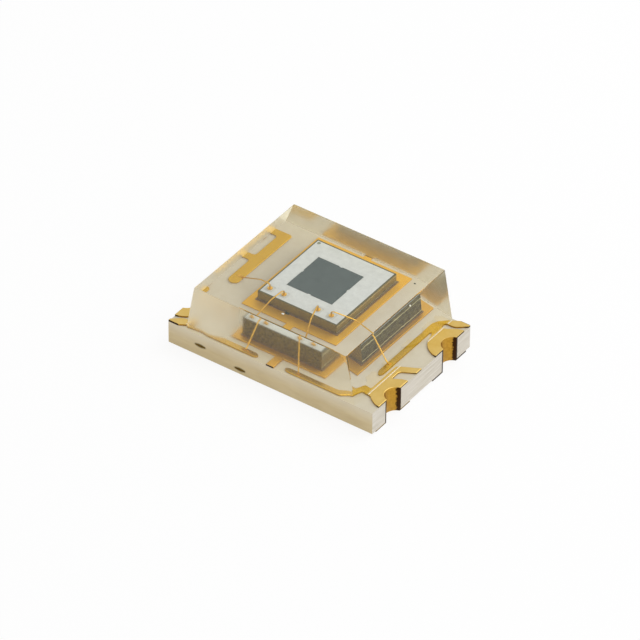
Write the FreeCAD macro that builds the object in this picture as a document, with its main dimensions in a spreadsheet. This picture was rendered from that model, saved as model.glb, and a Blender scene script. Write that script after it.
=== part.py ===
import FreeCAD, Part
import math
import os
import re

import Sketcher

# Ambient light sensor: a photodiode chip bonded to a small printed board with four half-round
# end terminals, under a block of clear moulding.
# Frame: X along the board, Y across it, Z up, origin under the centre of the solder lands.
# The fingers that the bond wires land on run along the -Y side and along both ends.

# Driving sizes in millimetres.
SIZES = {
    # Printed board and its copper.
    "board_length": 3.8,
    "board_width": 2.6,
    "board_thickness": 0.395,
    "copper_thickness": 0.03,
    # Half-round terminals: holes drilled on the saw line, plated, then sawn through.
    "terminal_pitch": 1.5,
    "hole_radius": 0.215,
    "hole_setout": 0.055,
    "plating_thickness": 0.03,
    "ring_radius": 0.39,
    "solder_land_width": 0.9,
    "solder_land_depth": 0.55,
    # Clear moulding: sawn flush with the board's sides, drafted at the ends.
    "mould_height": 0.875,
    "ledge": 0.329,
    "end_draft": 0.158,
    "mould_edge_radius": 0.02,
    # Bond fingers and the narrower arms that join them to the terminals.
    "finger_width": 0.19,
    "arm_width": 0.14,
    "side_finger_inset": 0.185,
    "end_finger_inset": 0.56,
    "finger_1_tip": 0.45,
    "finger_2_tip": 0.28,
    "finger_3_tip": 0.23,
    "finger_4_tip": 0.52,
    "finger_1_length": 1.49,
    "finger_2_length": 0.66,
    "finger_3_length": 0.95,
    "finger_4_length": 1.34,
    "arm_taper": 0.08,
    "arm_run": 0.22,
    "arm_setout": 0.17,
    "bend_rise": 0.25,
    "foot_strip": 0.1,
    "foot_tuck": 0.02,
    "link_reach": 0.25,
    "link_width": 0.05,
    # Thin plating bar that the second finger narrows to.
    "bar_width": 0.05,
    "bar_setout": 0.07,
    "bar_taper": 0.26,
    "bar_bend": 0.11,
    "bar_rise": 0.05,
    # Stubs of the plating bars, sawn off at the board's edges.
    "edge_stub_place": 0.07,
    "edge_stub_rise": 0.12,
    "low_arm_place": 0.24,
    "corner_stub_width": 0.17,
    "corner_stub_inset": 0.09,
    "corner_stub_band": 0.09,
    "corner_stub_lip": 0.04,
    # Die pad and its two tie bars.
    "die_pad_length": 1.76,
    "die_pad_width": 2.02,
    "tie_bar_width": 0.14,
    # Inner copper layer: two stubs that end at the sawn -Y side.
    "inner_stub_width": 0.19,
    "inner_stub_depth": 0.35,
    "inner_stub_thickness": 0.03,
    "inner_stub_1_place": 1.3,
    "inner_stub_1_level": 0.18,
    "inner_stub_2_place": 0.555,
    "inner_stub_2_level": 0.07,
    # Chip and the layers on its face.
    "die_place_x": -0.03,
    "die_place_y": 0.24,
    "die_length": 1.47,
    "die_width": 1.575,
    "die_thickness": 0.33,
    "attach_thickness": 0.015,
    "attach_margin": 0.03,
    "film_thickness": 0.006,
    "shield_inset": 0.025,
    "photodiode_size": 0.84,
    "photodiode_offset_x": -0.045,
    "photodiode_offset_y": 0.01,
    "photodiode_gap": 0.006,
    "tab_width": 0.05,
    "tab_depth": 0.014,
    "mark_radius": 0.03,
    "mark_inset": 0.07,
    # Bond pads on the chip, measured from its -X and -Y edges.
    "pad_size": 0.12,
    "pad_gap": 0.008,
    "pad_inset": 0.15,
    "pad_1_along": 0.122,
    "pad_2_along": 0.384,
    "pad_3_along": 1.015,
    "pad_4_along": 1.265,
    # Gold bond wires: ball on the chip, loop, and a flattened stitch on the finger.
    "wire_diameter": 0.025,
    "ball_radius": 0.043,
    "ball_height": 0.024,
    "neck_radius": 0.017,
    "neck_height": 0.015,
    "loop_height": 0.2,
    "loop_radius": 0.05,
    "shoulder_radius": 0.1,
    "landing_radius": 0.12,
    "landing_run": 0.05,
    "stitch_length": 0.1,
    "stitch_width": 0.06,
    "stitch_height": 0.012,
    "stitch_offset": 0.03,
    "stitch_1_setback": 0.21,
    "stitch_2_setback": 0.25,
    "stitch_3_setback": 0.23,
    "stitch_4_setback": 0.29,
    "shoulder_1_reach": 0.22,
    "shoulder_2_reach": 0.25,
    "shoulder_3_reach": 0.33,
    "shoulder_4_reach": 0.4,
    "shoulder_1_height": 0.09,
    "shoulder_2_height": 0.1,
    "shoulder_3_height": 0.17,
    "shoulder_4_height": 0.1,
}

doc = FreeCAD.newDocument("ambient_light_sensor")
sheet = doc.addObject("Spreadsheet::Sheet", "sizes")
for row, (alias, number) in enumerate(SIZES.items(), start=1):
    sheet.set(f"A{row}", alias)
    sheet.set(f"B{row}", str(number))
    sheet.setAlias(f"B{row}", alias)
doc.recompute()

# Places and levels that several pieces share, as formulas over the sheet.
END = "board_length / 2"
SIDE = "board_width / 2"
FOOT = "(board_length / 2 - ledge)"
HOLE_X = "(board_length / 2 + hole_setout)"
HOLE_Y = "terminal_pitch / 2"
SIDE_FINGER_Y = "(board_width / 2 - side_finger_inset)"
END_FINGER_X = "(board_length / 2 - end_finger_inset)"
BOARD_TOP = "(copper_thickness + board_thickness)"
COPPER_TOP = "(2 * copper_thickness + board_thickness)"
DIE_BASE = f"({COPPER_TOP} + attach_thickness)"
DIE_TOP = f"({DIE_BASE} + die_thickness)"
FILM_TOP = f"({DIE_TOP} + film_thickness)"


def formula(text):
    """Text with the sheet's name put before each of its cells."""
    return re.sub(r"[a-z][a-z0-9_]*", lambda m: "sizes." + m[0] if m[0] in SIZES else m[0], text)


def bind(item, links):
    """Bind properties of an object to formulas over the sheet."""
    for name, text in links.items():
        item.setExpression(name, formula(text))


def new_body(label):
    body = doc.addObject("PartDesign::Body", label)
    body.Label = label
    return body


def new_sketch(body, name, level="0", role="XY_Plane"):
    """Sketch on one of the body's own origin planes, lifted off it by a formula."""
    sketch = body.newObject("Sketcher::SketchObject", f"{body.Name}_{name}")
    plane = next(item for item in body.Origin.OriginFeatures if item.Role == role)
    sketch.AttachmentSupport = [(plane, "")]
    sketch.MapMode = "FlatFace"
    bind(sketch, {"AttachmentOffset.Base.z": level})
    return sketch


def place_point(sketch, geometry, point, x, y, guess):
    """Fix one point of a sketch at two formulas, measured from the sketch's origin."""
    for kind, text, start in (("DistanceX", x, guess[0]), ("DistanceY", y, guess[1])):
        number = sketch.addConstraint(Sketcher.Constraint(kind, -1, 1, geometry, point, start))
        bind(sketch, {f"Constraints[{number}]": text})


def draw_outline(sketch, corners):
    """Closed outline of straight edges whose corners are pairs of formulas."""
    count = len(corners)
    first = sketch.GeometryCount
    rough = [FreeCAD.Vector(1, 0, 0)]
    turn = FreeCAD.Rotation(FreeCAD.Vector(0, 0, 1), 360 / count)
    for _ in corners[1:]:
        rough.append(turn.multVec(rough[-1]))
    for index in range(count):
        sketch.addGeometry(Part.LineSegment(rough[index], rough[(index + 1) % count]))
    for index in range(count):
        following = first + (index + 1) % count
        sketch.addConstraint(Sketcher.Constraint("Coincident", first + index, 2, following, 1))
    for index, (x, y) in enumerate(corners):
        place_point(sketch, first + index, 1, x, y, rough[index])


def draw_rectangle(sketch, x0, y0, x1, y1):
    draw_outline(sketch, [(x0, y0), (x1, y0), (x1, y1), (x0, y1)])


def draw_circle(sketch, x, y, radius):
    rough = FreeCAD.Vector(1, 1, 0)
    circle = sketch.addGeometry(Part.Circle(rough, FreeCAD.Vector(0, 0, 1), 1))
    place_point(sketch, circle, 3, x, y, rough)
    number = sketch.addConstraint(Sketcher.Constraint("Radius", circle, 1))
    bind(sketch, {f"Constraints[{number}]": radius})


def pad(sketch, height):
    feature = sketch.getParentGeoFeatureGroup().newObject("PartDesign::Pad", f"{sketch.Name}_pad")
    feature.Profile = sketch
    bind(feature, {"Length": height})
    return feature


def pocket_through(sketch, depth):
    """Cut up from the sketch's own plane, and check that something was cut."""
    body = sketch.getParentGeoFeatureGroup()
    doc.recompute()
    before = body.Shape.Volume
    feature = body.newObject("PartDesign::Pocket", f"{sketch.Name}_pocket")
    feature.Profile = sketch
    feature.Reversed = True
    bind(feature, {"Length": depth})
    doc.recompute()
    if not body.Shape.Volume < before:
        raise RuntimeError(f"{feature.Name} cuts nothing")
    return feature


def make_substrate():
    """Glass-epoxy board with four half holes on its sawn ends and the slots of the inner copper."""
    body = new_body("substrate")
    blank = new_sketch(body, "blank", "copper_thickness")
    draw_rectangle(blank, f"-{END}", f"-{SIDE}", END, SIDE)
    pad(blank, "board_thickness")
    holes = new_sketch(body, "holes")
    for side_x in (-1, 1):
        for side_y in (-1, 1):
            draw_circle(holes, f"{side_x} * {HOLE_X}", f"{side_y} * {HOLE_Y}", "hole_radius")
    pocket_through(holes, COPPER_TOP)
    for number in (1, 2):
        slot = draw_inner_stub(body, number)
        pocket_through(slot, "inner_stub_thickness")


def draw_inner_stub(body, number):
    """Outline of one stub of an inner copper layer, at its level and open to the -Y side."""
    sketch = new_sketch(body, f"stub_{number}", f"copper_thickness + inner_stub_{number}_level")
    middle = f"-inner_stub_{number}_place"
    half = "inner_stub_width / 2"
    draw_rectangle(
        sketch, f"{middle} - {half}", f"-{SIDE}", f"{middle} + {half}", f"inner_stub_depth - {SIDE}"
    )
    return sketch


def make_inner_stub(number):
    """Stub of an inner copper layer, sawn off flush with the board's -Y side."""
    body = new_body(f"inner_copper_stub_{number}")
    pad(draw_inner_stub(body, number), "inner_stub_thickness")


# Copper on the board's top: outlines of formulas, joined by round finger tips and hole rings.
HALF_FINGER = "finger_width / 2"
HALF_ARM = "arm_width / 2"
STRIP_X = f"({FOOT} + foot_strip)"
TUCK_X = f"({FOOT} - foot_tuck)"
STUB_NEAR_Y = f"({SIDE} - corner_stub_inset)"
STUB_FAR_Y = f"({STUB_NEAR_Y} - corner_stub_band)"
# Places of the four finger tips' centres.
TIPS = {
    1: (f"-{END_FINGER_X}", f"{HALF_FINGER} - finger_1_tip"),
    2: (f"-(finger_2_tip + {HALF_FINGER})", f"-{SIDE_FINGER_Y}"),
    3: (f"finger_3_tip + {HALF_FINGER}", f"-{SIDE_FINGER_Y}"),
    4: (END_FINGER_X, f"{HALF_FINGER} - finger_4_tip"),
}
# Which way each terminal lies from the board's centre.
CORNERS = {1: (-1, 1), 2: (-1, -1), 3: (1, -1), 4: (1, 1)}


def corner_copper():
    """Outline at the +X +Y corner, from the mould's foot into the ring, then out to the stub."""
    return [
        (TUCK_X, HOLE_Y),
        (STRIP_X, HOLE_Y),
        (STRIP_X, f"{HOLE_Y} + link_reach"),
        (TUCK_X, f"{HOLE_Y} + link_reach"),
        (TUCK_X, STUB_FAR_Y),
        (f"{END} - corner_stub_width", STUB_FAR_Y),
        (END, f"{SIDE} - corner_stub_lip"),
        (END, SIDE),
        (f"{END} - corner_stub_width", SIDE),
        (FOOT, STUB_NEAR_Y),
    ]


def outline_1():
    """Finger along the -X end, with an arm to the ring and one to the stub on that end."""
    outer = f"-{END_FINGER_X} - {HALF_FINGER}"
    inner = f"-{END_FINGER_X} + {HALF_FINGER}"
    start = TIPS[1][1]
    top = "finger_1_length - finger_1_tip"
    return [
        (inner, start),
        (inner, top),
        (f"-{STRIP_X}", top),
        (f"-{STRIP_X}", f"{top} - arm_width"),
        (outer, f"{top} - arm_width"),
        (outer, f"low_arm_place + {HALF_ARM}"),
        (f"-{TUCK_X}", f"low_arm_place + {HALF_ARM}"),
        (f"-{END}", f"edge_stub_place + {HALF_ARM}"),
        (f"-{END}", f"edge_stub_place - {HALF_ARM}"),
        (f"-{TUCK_X}", f"low_arm_place - {HALF_ARM}"),
        (outer, f"low_arm_place - {HALF_ARM}"),
        (outer, start),
    ]


def outline_2():
    """Finger along the -Y side, narrowing to a bar, with a link to the ring and a corner stub."""
    start = TIPS[2][0]
    stop = "-(finger_2_tip + finger_2_length)"
    neck = f"{stop} - bar_taper"
    bar_y = f"-({SIDE_FINGER_Y} + bar_setout)"
    corner = [(f"-1 * ({x})", f"-1 * ({y})") for x, y in corner_copper()]
    return [
        (start, f"-{SIDE_FINGER_Y} + {HALF_FINGER}"),
        (stop, f"-{SIDE_FINGER_Y} + {HALF_FINGER}"),
        (neck, f"{bar_y} + bar_width / 2"),
        (f"{neck} - bar_bend", f"{bar_y} + bar_width / 2 + bar_rise"),
        (f"-{TUCK_X} + link_width", f"{bar_y} + bar_width / 2 + bar_rise"),
        (f"-{TUCK_X} + link_width", f"-{HOLE_Y}"),
        *corner,
        (f"{neck} - bar_bend", f"{bar_y} - bar_width / 2 + bar_rise"),
        (neck, f"{bar_y} - bar_width / 2"),
        (stop, f"-{SIDE_FINGER_Y} - {HALF_FINGER}"),
        (start, f"-{SIDE_FINGER_Y} - {HALF_FINGER}"),
    ]


def outline_3():
    """Finger along the -Y side, stepping inwards to a strip along the mould's foot and a stub."""
    start = TIPS[3][0]
    stop = "finger_3_tip + finger_3_length"
    arm_y = f"-({HOLE_Y} + arm_setout)"
    return [
        (start, f"-{SIDE_FINGER_Y} - {HALF_FINGER}"),
        (f"{stop} + arm_taper", f"-{SIDE_FINGER_Y} - {HALF_FINGER}"),
        (f"{stop} + arm_run", f"{arm_y} - {HALF_ARM}"),
        (STRIP_X, f"{arm_y} - {HALF_ARM}"),
        (STRIP_X, f"-(edge_stub_place + {HALF_ARM} + edge_stub_rise)"),
        (END, f"-(edge_stub_place + {HALF_ARM})"),
        (END, f"-(edge_stub_place - {HALF_ARM})"),
        (STRIP_X, f"-(edge_stub_place - {HALF_ARM} + edge_stub_rise)"),
        (TUCK_X, f"-(edge_stub_place + edge_stub_rise)"),
        (TUCK_X, f"{arm_y} + {HALF_ARM}"),
        (f"{stop} + arm_run - arm_taper", f"{arm_y} + {HALF_ARM}"),
        (stop, f"-{SIDE_FINGER_Y} + {HALF_FINGER}"),
        (start, f"-{SIDE_FINGER_Y} + {HALF_FINGER}"),
    ]


def outline_4():
    """Finger along the +X end, bending out to the ring and the corner stub."""
    outer = f"{END_FINGER_X} + {HALF_FINGER}"
    inner = f"{END_FINGER_X} - {HALF_FINGER}"
    start = TIPS[4][1]
    bend = "finger_4_length - finger_4_tip"
    return [
        (outer, start),
        (outer, bend),
        *corner_copper(),
        (END_FINGER_X, f"{bend} + bend_rise"),
        (inner, f"{bend} + arm_width"),
        (inner, start),
    ]


OUTLINES = {1: outline_1, 2: outline_2, 3: outline_3, 4: outline_4}


def make_terminal(number):
    """One plated net: finger, ring, barrel in the half hole, and the solder land underneath."""
    side_x, side_y = CORNERS[number]
    hole = (f"{side_x} * {HOLE_X}", f"{side_y} * {HOLE_Y}")
    body = new_body(f"terminal_{number}")
    land = new_sketch(body, "land")
    half_land = "solder_land_width / 2"
    draw_rectangle(
        land,
        f"{side_x} * ({END} - solder_land_depth)",
        f"{side_y} * ({HOLE_Y} - {half_land})",
        f"{side_x} * {END}",
        f"{side_y} * ({HOLE_Y} + {half_land})",
    )
    pad(land, "copper_thickness")
    barrel = new_sketch(body, "barrel")
    draw_circle(barrel, *hole, "hole_radius")
    pad(barrel, COPPER_TOP)
    trace = new_sketch(body, "trace", BOARD_TOP)
    draw_outline(trace, OUTLINES[number]())
    pad(trace, "copper_thickness")
    tip = new_sketch(body, "tip", BOARD_TOP)
    draw_circle(tip, *TIPS[number], HALF_FINGER)
    pad(tip, "copper_thickness")
    ring = new_sketch(body, "ring", BOARD_TOP)
    draw_circle(ring, *hole, "ring_radius")
    pad(ring, "copper_thickness")
    bore = new_sketch(body, "bore")
    draw_circle(bore, *hole, "hole_radius - plating_thickness")
    pocket_through(bore, COPPER_TOP)
    saw = new_sketch(body, "saw")
    draw_rectangle(
        saw,
        f"{side_x} * {END}",
        f"{side_y} * ({HOLE_Y} - ring_radius - hole_radius)",
        f"{side_x} * ({END} + hole_setout + ring_radius + hole_radius)",
        f"{side_y} * ({HOLE_Y} + ring_radius + hole_radius)",
    )
    pocket_through(saw, COPPER_TOP)


def make_die_pad():
    """Copper under the chip, with a tie bar to each side of the board."""
    body = new_body("die_pad")
    outline = new_sketch(body, "outline", BOARD_TOP)
    half_x = "die_pad_length / 2"
    half_y = "die_pad_width / 2"
    draw_rectangle(
        outline,
        f"die_place_x - {half_x}",
        f"die_place_y - {half_y}",
        f"die_place_x + {half_x}",
        f"die_place_y + {half_y}",
    )
    pad(outline, "copper_thickness")
    bars = new_sketch(body, "tie_bars", BOARD_TOP)
    draw_rectangle(bars, "-tie_bar_width / 2", f"-{SIDE}", "tie_bar_width / 2", SIDE)
    pad(bars, "copper_thickness")


# The chip's edges, and the centre of its photodiode.
DIE_LEFT = "(die_place_x - die_length / 2)"
DIE_RIGHT = "(die_place_x + die_length / 2)"
DIE_FRONT = "(die_place_y - die_width / 2)"
DIE_BACK = "(die_place_y + die_width / 2)"
PHOTO_X = "(die_place_x + photodiode_offset_x)"
PHOTO_Y = "(die_place_y + photodiode_offset_y)"
PAD_Y = f"({DIE_FRONT} + pad_inset)"


def pad_x(number):
    return f"({DIE_LEFT} + pad_{number}_along)"


def make_die():
    """Silicon chip, and the adhesive film that holds it and shows a little all round it."""
    film = new_body("die_attach")
    sketch = new_sketch(film, "outline", COPPER_TOP)
    draw_rectangle(
        sketch,
        f"{DIE_LEFT} - attach_margin",
        f"{DIE_FRONT} - attach_margin",
        f"{DIE_RIGHT} + attach_margin",
        f"{DIE_BACK} + attach_margin",
    )
    pad(sketch, "attach_thickness")
    chip = new_body("silicon_die")
    sketch = new_sketch(chip, "outline", DIE_BASE)
    draw_rectangle(sketch, DIE_LEFT, DIE_FRONT, DIE_RIGHT, DIE_BACK)
    pad(sketch, "die_thickness")


def square_with_notches(centre_x, centre_y, half):
    """Corners of a square that has a shallow notch in the middle of each side."""
    tab = "tab_width / 2"
    half = f"({half})"
    corners = []
    for turn_x, turn_y in ((1, 0), (0, 1), (-1, 0), (0, -1)):
        for out, along in (
            (half, f"-{half}"),
            (half, f"-({tab})"),
            (f"({half} - tab_depth)", f"-({tab})"),
            (f"({half} - tab_depth)", tab),
            (half, tab),
        ):
            x = f"{centre_x} + {turn_x} * {out} - {turn_y} * ({along})"
            y = f"{centre_y} + {turn_y} * {out} + {turn_x} * ({along})"
            corners.append((x, y))
    return corners


def make_photodiode():
    """Dark light-sensitive field in the middle of the chip."""
    body = new_body("photodiode")
    sketch = new_sketch(body, "outline", DIE_TOP)
    draw_outline(sketch, square_with_notches(PHOTO_X, PHOTO_Y, "photodiode_size / 2"))
    pad(sketch, "film_thickness")


def make_light_shield():
    """Pale metal film over the rest of the chip, open at the photodiode, the pads and a mark."""
    body = new_body("light_shield")
    sheet_outline = new_sketch(body, "outline", DIE_TOP)
    draw_rectangle(
        sheet_outline,
        f"{DIE_LEFT} + shield_inset",
        f"{DIE_FRONT} + shield_inset",
        f"{DIE_RIGHT} - shield_inset",
        f"{DIE_BACK} - shield_inset",
    )
    pad(sheet_outline, "film_thickness")
    window = new_sketch(body, "window", DIE_TOP)
    draw_outline(
        window, square_with_notches(PHOTO_X, PHOTO_Y, "photodiode_size / 2 + photodiode_gap")
    )
    pocket_through(window, "film_thickness")
    openings = new_sketch(body, "pad_openings", DIE_TOP)
    reach = "pad_size / 2 + pad_gap"
    for number in (1, 2, 3, 4):
        draw_rectangle(
            openings,
            f"{pad_x(number)} - ({reach})",
            f"{PAD_Y} - ({reach})",
            f"{pad_x(number)} + ({reach})",
            f"{PAD_Y} + ({reach})",
        )
    pocket_through(openings, "film_thickness")
    mark = new_sketch(body, "mark", DIE_TOP)
    draw_circle(mark, f"{DIE_LEFT} + mark_inset", f"{DIE_BACK} - mark_inset", "mark_radius")
    pocket_through(mark, "film_thickness")


def make_bond_pad(number):
    """Aluminium pad on the chip under one ball."""
    body = new_body(f"bond_pad_{number}")
    sketch = new_sketch(body, "outline", DIE_TOP)
    half = "pad_size / 2"
    draw_rectangle(
        sketch,
        f"{pad_x(number)} - {half}",
        f"{PAD_Y} - {half}",
        f"{pad_x(number)} + {half}",
        f"{PAD_Y} + {half}",
    )
    pad(sketch, "film_thickness")


# Pieces that the moulding doesn't touch.
OUTER = {"substrate", "inner_copper_stub_1", "inner_copper_stub_2"}
# Where each wire's stitch lies on its finger.
STITCHES = {
    1: (f"-{END_FINGER_X} + stitch_offset", "stitch_1_setback - finger_1_tip"),
    2: ("-(finger_2_tip + stitch_2_setback)", f"-{SIDE_FINGER_Y} + stitch_offset"),
    3: ("finger_3_tip + stitch_3_setback", f"-{SIDE_FINGER_Y} + stitch_offset"),
    4: (f"{END_FINGER_X} - stitch_offset", "stitch_4_setback - finger_4_tip"),
}


def draw_section(sketch):
    """Eight-sided section of the wire, which keeps the facets of so thin a piece few."""
    corners = []
    for side in range(8):
        angle = f"{22.5 + 45 * side} deg"
        corners.append((f"wire_diameter / 2 * cos({angle})", f"wire_diameter / 2 * sin({angle})"))
    draw_outline(sketch, corners)


def draw_loop(sketch, number, span):
    """Path of a wire in its own upright plane: up from the ball, over, down and along."""
    landing = f"{COPPER_TOP} - {FILM_TOP} + wire_diameter / 4"
    stops = [
        ("0", "ball_height"),
        ("0", "loop_height"),
        (f"shoulder_{number}_reach", f"shoulder_{number}_height"),
        (f"{span} - landing_run", landing),
        (span, landing),
    ]
    marks = []
    for place, (x, z) in enumerate(stops):
        rough = FreeCAD.Vector(place, place % 2, 0)
        marks.append(sketch.addGeometry(Part.Point(rough), True))
        place_point(sketch, marks[-1], 1, x, z, rough)
    doc.recompute()
    points = [sketch.getPoint(mark, 1) for mark in marks]
    radii = ["loop_radius", "shoulder_radius", "landing_radius"]
    ends = [points[0]]
    arcs = []
    for before, corner, after, radius in zip(points, points[1:], points[2:], radii):
        back = (before - corner).normalize()
        onward = (after - corner).normalize()
        half = back.getAngle(onward) / 2
        reach = SIZES[radius] / math.tan(half)
        rise = SIZES[radius] / math.sin(half) - SIZES[radius]
        middle = corner + (back + onward).normalize() * rise
        ends += [corner + back * reach, corner + onward * reach]
        arcs.append(sketch.addGeometry(Part.Arc(ends[-2], middle, ends[-1])))
    ends.append(points[-1])
    lines = [
        sketch.addGeometry(Part.LineSegment(ends[at], ends[at + 1])) for at in range(0, len(ends), 2)
    ]
    sketch.addConstraint(Sketcher.Constraint("Coincident", lines[0], 1, marks[0], 1))
    sketch.addConstraint(Sketcher.Constraint("Coincident", lines[-1], 2, marks[-1], 1))
    for at, (arc, radius) in enumerate(zip(arcs, radii)):
        near = min((1, 2), key=lambda end: sketch.getPoint(arc, end).distanceToPoint(ends[2 * at + 1]))
        for line, line_end, arc_end in ((lines[at], 2, near), (lines[at + 1], 1, 3 - near)):
            sketch.addConstraint(Sketcher.Constraint("Tangent", line, line_end, arc, arc_end))
            sketch.addConstraint(Sketcher.Constraint("PointOnObject", marks[at + 1], 1, line))
        index = sketch.addConstraint(Sketcher.Constraint("Radius", arc, SIZES[radius]))
        bind(sketch, {f"Constraints[{index}]": radius})


def make_bond_wire(number):
    """Gold wire: squashed ball and neck on the chip, loop, and a flattened stitch on the finger."""
    stitch_x, stitch_y = STITCHES[number]
    run_x = f"({stitch_x} - {pad_x(number)})"
    run_y = f"({stitch_y} - {PAD_Y})"
    span = f"sqrt({run_x} ^ 2 + {run_y} ^ 2)"
    floor = f"({COPPER_TOP} - {FILM_TOP})"
    body = new_body(f"bond_wire_{number}")
    bind(
        body,
        {
            "Placement.Base.x": pad_x(number),
            "Placement.Base.y": PAD_Y,
            "Placement.Base.z": FILM_TOP,
            "Placement.Rotation.Angle": f"atan2({run_y}; {run_x})",
        },
    )
    ball = body.newObject("PartDesign::AdditiveSphere", f"{body.Name}_ball")
    bind(
        ball,
        {
            "Radius": "ball_radius",
            "Angle1": "-asin(ball_height / (2 * ball_radius))",
            "Angle2": "asin(ball_height / (2 * ball_radius))",
            "Placement.Base.z": "ball_height / 2",
        },
    )
    neck = body.newObject("PartDesign::AdditiveCone", f"{body.Name}_neck")
    bind(
        neck,
        {
            "Radius1": "neck_radius",
            "Radius2": "wire_diameter / 2",
            "Height": "neck_height",
            "Placement.Base.z": "ball_height",
        },
    )
    path = new_sketch(body, "path", role="XZ_Plane")
    draw_loop(path, number, span)
    section = new_sketch(body, "section", "ball_height")
    draw_section(section)
    doc.recompute()
    loop = body.newObject("PartDesign::AdditivePipe", f"{body.Name}_loop")
    loop.Profile = section
    loop.Spine = (path, [])
    stitch = new_sketch(body, "stitch", floor)
    heel_x = f"{span} - stitch_length / 2"
    toe_x = f"{span} + stitch_length / 2"
    draw_outline(
        stitch,
        [
            (heel_x, "-wire_diameter / 2"),
            (toe_x, "-stitch_width / 2"),
            (toe_x, "stitch_width / 2"),
            (heel_x, "wire_diameter / 2"),
        ],
    )
    pad(stitch, "stitch_height")
    under = body.newObject("PartDesign::SubtractiveBox", f"{body.Name}_under")
    bind(
        under,
        {
            "Length": f"{span} + stitch_length",
            "Width": "4 * wire_diameter",
            "Height": "wire_diameter",
            "Placement.Base.y": "-2 * wire_diameter",
            "Placement.Base.z": f"{floor} - wire_diameter",
        },
    )


def make_mould(inner):
    """Clear block over the chip: drafted ends, sawn sides, and the room that the pieces fill."""
    block = new_body("mould_block")
    profile = new_sketch(block, "profile", role="XZ_Plane")
    top = f"{BOARD_TOP} + mould_height"
    draw_outline(
        profile,
        [
            (f"-{FOOT}", BOARD_TOP),
            (FOOT, BOARD_TOP),
            (f"{FOOT} - end_draft", top),
            (f"end_draft - {FOOT}", top),
        ],
    )
    body = pad(profile, "board_width")
    body.Midplane = True
    doc.recompute()
    edges = [
        f"Edge{at}"
        for at, edge in enumerate(body.Shape.Edges, start=1)
        if abs(edge.CenterOfMass.y) < edge.Length / 2
        and edge.CenterOfMass.z > body.Shape.CenterOfMass.z
        and abs(edge.CenterOfMass.x) > edge.Length / 4
    ]
    rounding = block.newObject("PartDesign::Fillet", "mould_block_rounding")
    rounding.Base = (body, edges)
    bind(rounding, {"Radius": "mould_edge_radius"})
    filling = doc.addObject("Part::MultiFuse", "sealed_pieces")
    filling.Shapes = inner
    mould = doc.addObject("Part::Cut", "clear_mould")
    mould.Label = "clear_mould"
    mould.Base = block
    mould.Tool = filling
    return mould


make_substrate()
for number in (1, 2):
    make_inner_stub(number)
for number in CORNERS:
    make_terminal(number)
make_die_pad()
make_die()
make_photodiode()
make_light_shield()
for number in CORNERS:
    make_bond_pad(number)
    make_bond_wire(number)

pieces = doc.findObjects("PartDesign::Body")
inner = [piece for piece in pieces if piece.Label not in OUTER]
mould = make_mould(inner)
pieces.append(mould)
doc.recompute()

for item in doc.Objects:
    if "Invalid" in item.State or "Error" in item.State:
        raise RuntimeError(f"{item.Name} did not build")
for piece in pieces:
    if piece.Shape.isNull() or not piece.Shape.isValid():
        raise RuntimeError(f"{piece.Label} has no valid shape")
os.makedirs("parts", exist_ok=True)
for piece in pieces:
    piece.Shape.exportStep(f"parts/{piece.Label}.step")
    print(piece.Label, round(piece.Shape.Volume, 5))
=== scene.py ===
import logging
import math
from dataclasses import dataclass, field
from enum import Enum

import bmesh
import bpy
from mathutils import Matrix, Vector


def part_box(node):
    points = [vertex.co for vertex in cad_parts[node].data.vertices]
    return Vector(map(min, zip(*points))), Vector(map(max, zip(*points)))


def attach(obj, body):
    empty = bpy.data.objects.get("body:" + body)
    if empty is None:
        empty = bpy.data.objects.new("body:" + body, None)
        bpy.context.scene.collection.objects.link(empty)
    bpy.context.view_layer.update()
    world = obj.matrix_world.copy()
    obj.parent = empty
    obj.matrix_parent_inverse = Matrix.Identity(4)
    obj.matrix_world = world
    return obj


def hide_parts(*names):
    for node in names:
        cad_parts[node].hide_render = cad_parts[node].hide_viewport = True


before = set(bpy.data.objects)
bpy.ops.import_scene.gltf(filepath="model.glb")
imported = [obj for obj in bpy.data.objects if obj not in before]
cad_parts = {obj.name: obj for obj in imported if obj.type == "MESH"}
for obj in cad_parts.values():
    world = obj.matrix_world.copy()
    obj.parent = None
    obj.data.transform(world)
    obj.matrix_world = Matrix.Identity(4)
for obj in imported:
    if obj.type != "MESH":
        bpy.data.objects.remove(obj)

# Looks of an ambient light sensor: a photodiode chip on a small printed board, sealed in clear epoxy.
# Frame: X along the board, Y across it, Z up. The CAD is in metres, and sizes here are in millimetres.

logger = logging.getLogger("ambient_light_sensor")

MM = 0.001
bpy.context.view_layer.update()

# The terminals, the bond pads and the wires all carry the same numbers.
NUMBERS = (1, 2, 3, 4)
# A finish treats a face as a top or an end where its normal has more than this share along that axis.
FACING = 0.6
# A face or an edge of a mesh counts as lying along an axis from this share on.
SQUARE = 0.9
# Places closer than this are one, in millimetres.
SAME_MM = 1e-4
# Triangles that meet at less than this angle are parts of one flat face.
FLAT_TURN = math.radians(0.5)
WHITE = "#FFFFFF"

Feed = bpy.types.NodeSocket | float | tuple[float, ...]


def linear(hex_colour: str) -> tuple[float, float, float, float]:
    """Turns an sRGB hex colour into linear light.

    Args:
        hex_colour: six hex digits after a hash sign.

    Returns:
        Red, green, blue and an alpha of 1.
    """
    channels = []
    for at in (1, 3, 5):
        share = int(hex_colour[at:at + 2], 16) / 255
        channels.append(share / 12.92 if share <= 0.04045 else ((share + 0.055) / 1.055) ** 2.4)
    return (*channels, 1.0)


def per_metre(size_mm: float) -> float:
    """Pattern scale, in repeats per metre, for a feature of a real size in millimetres."""
    return 1 / (size_mm * MM)


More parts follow.
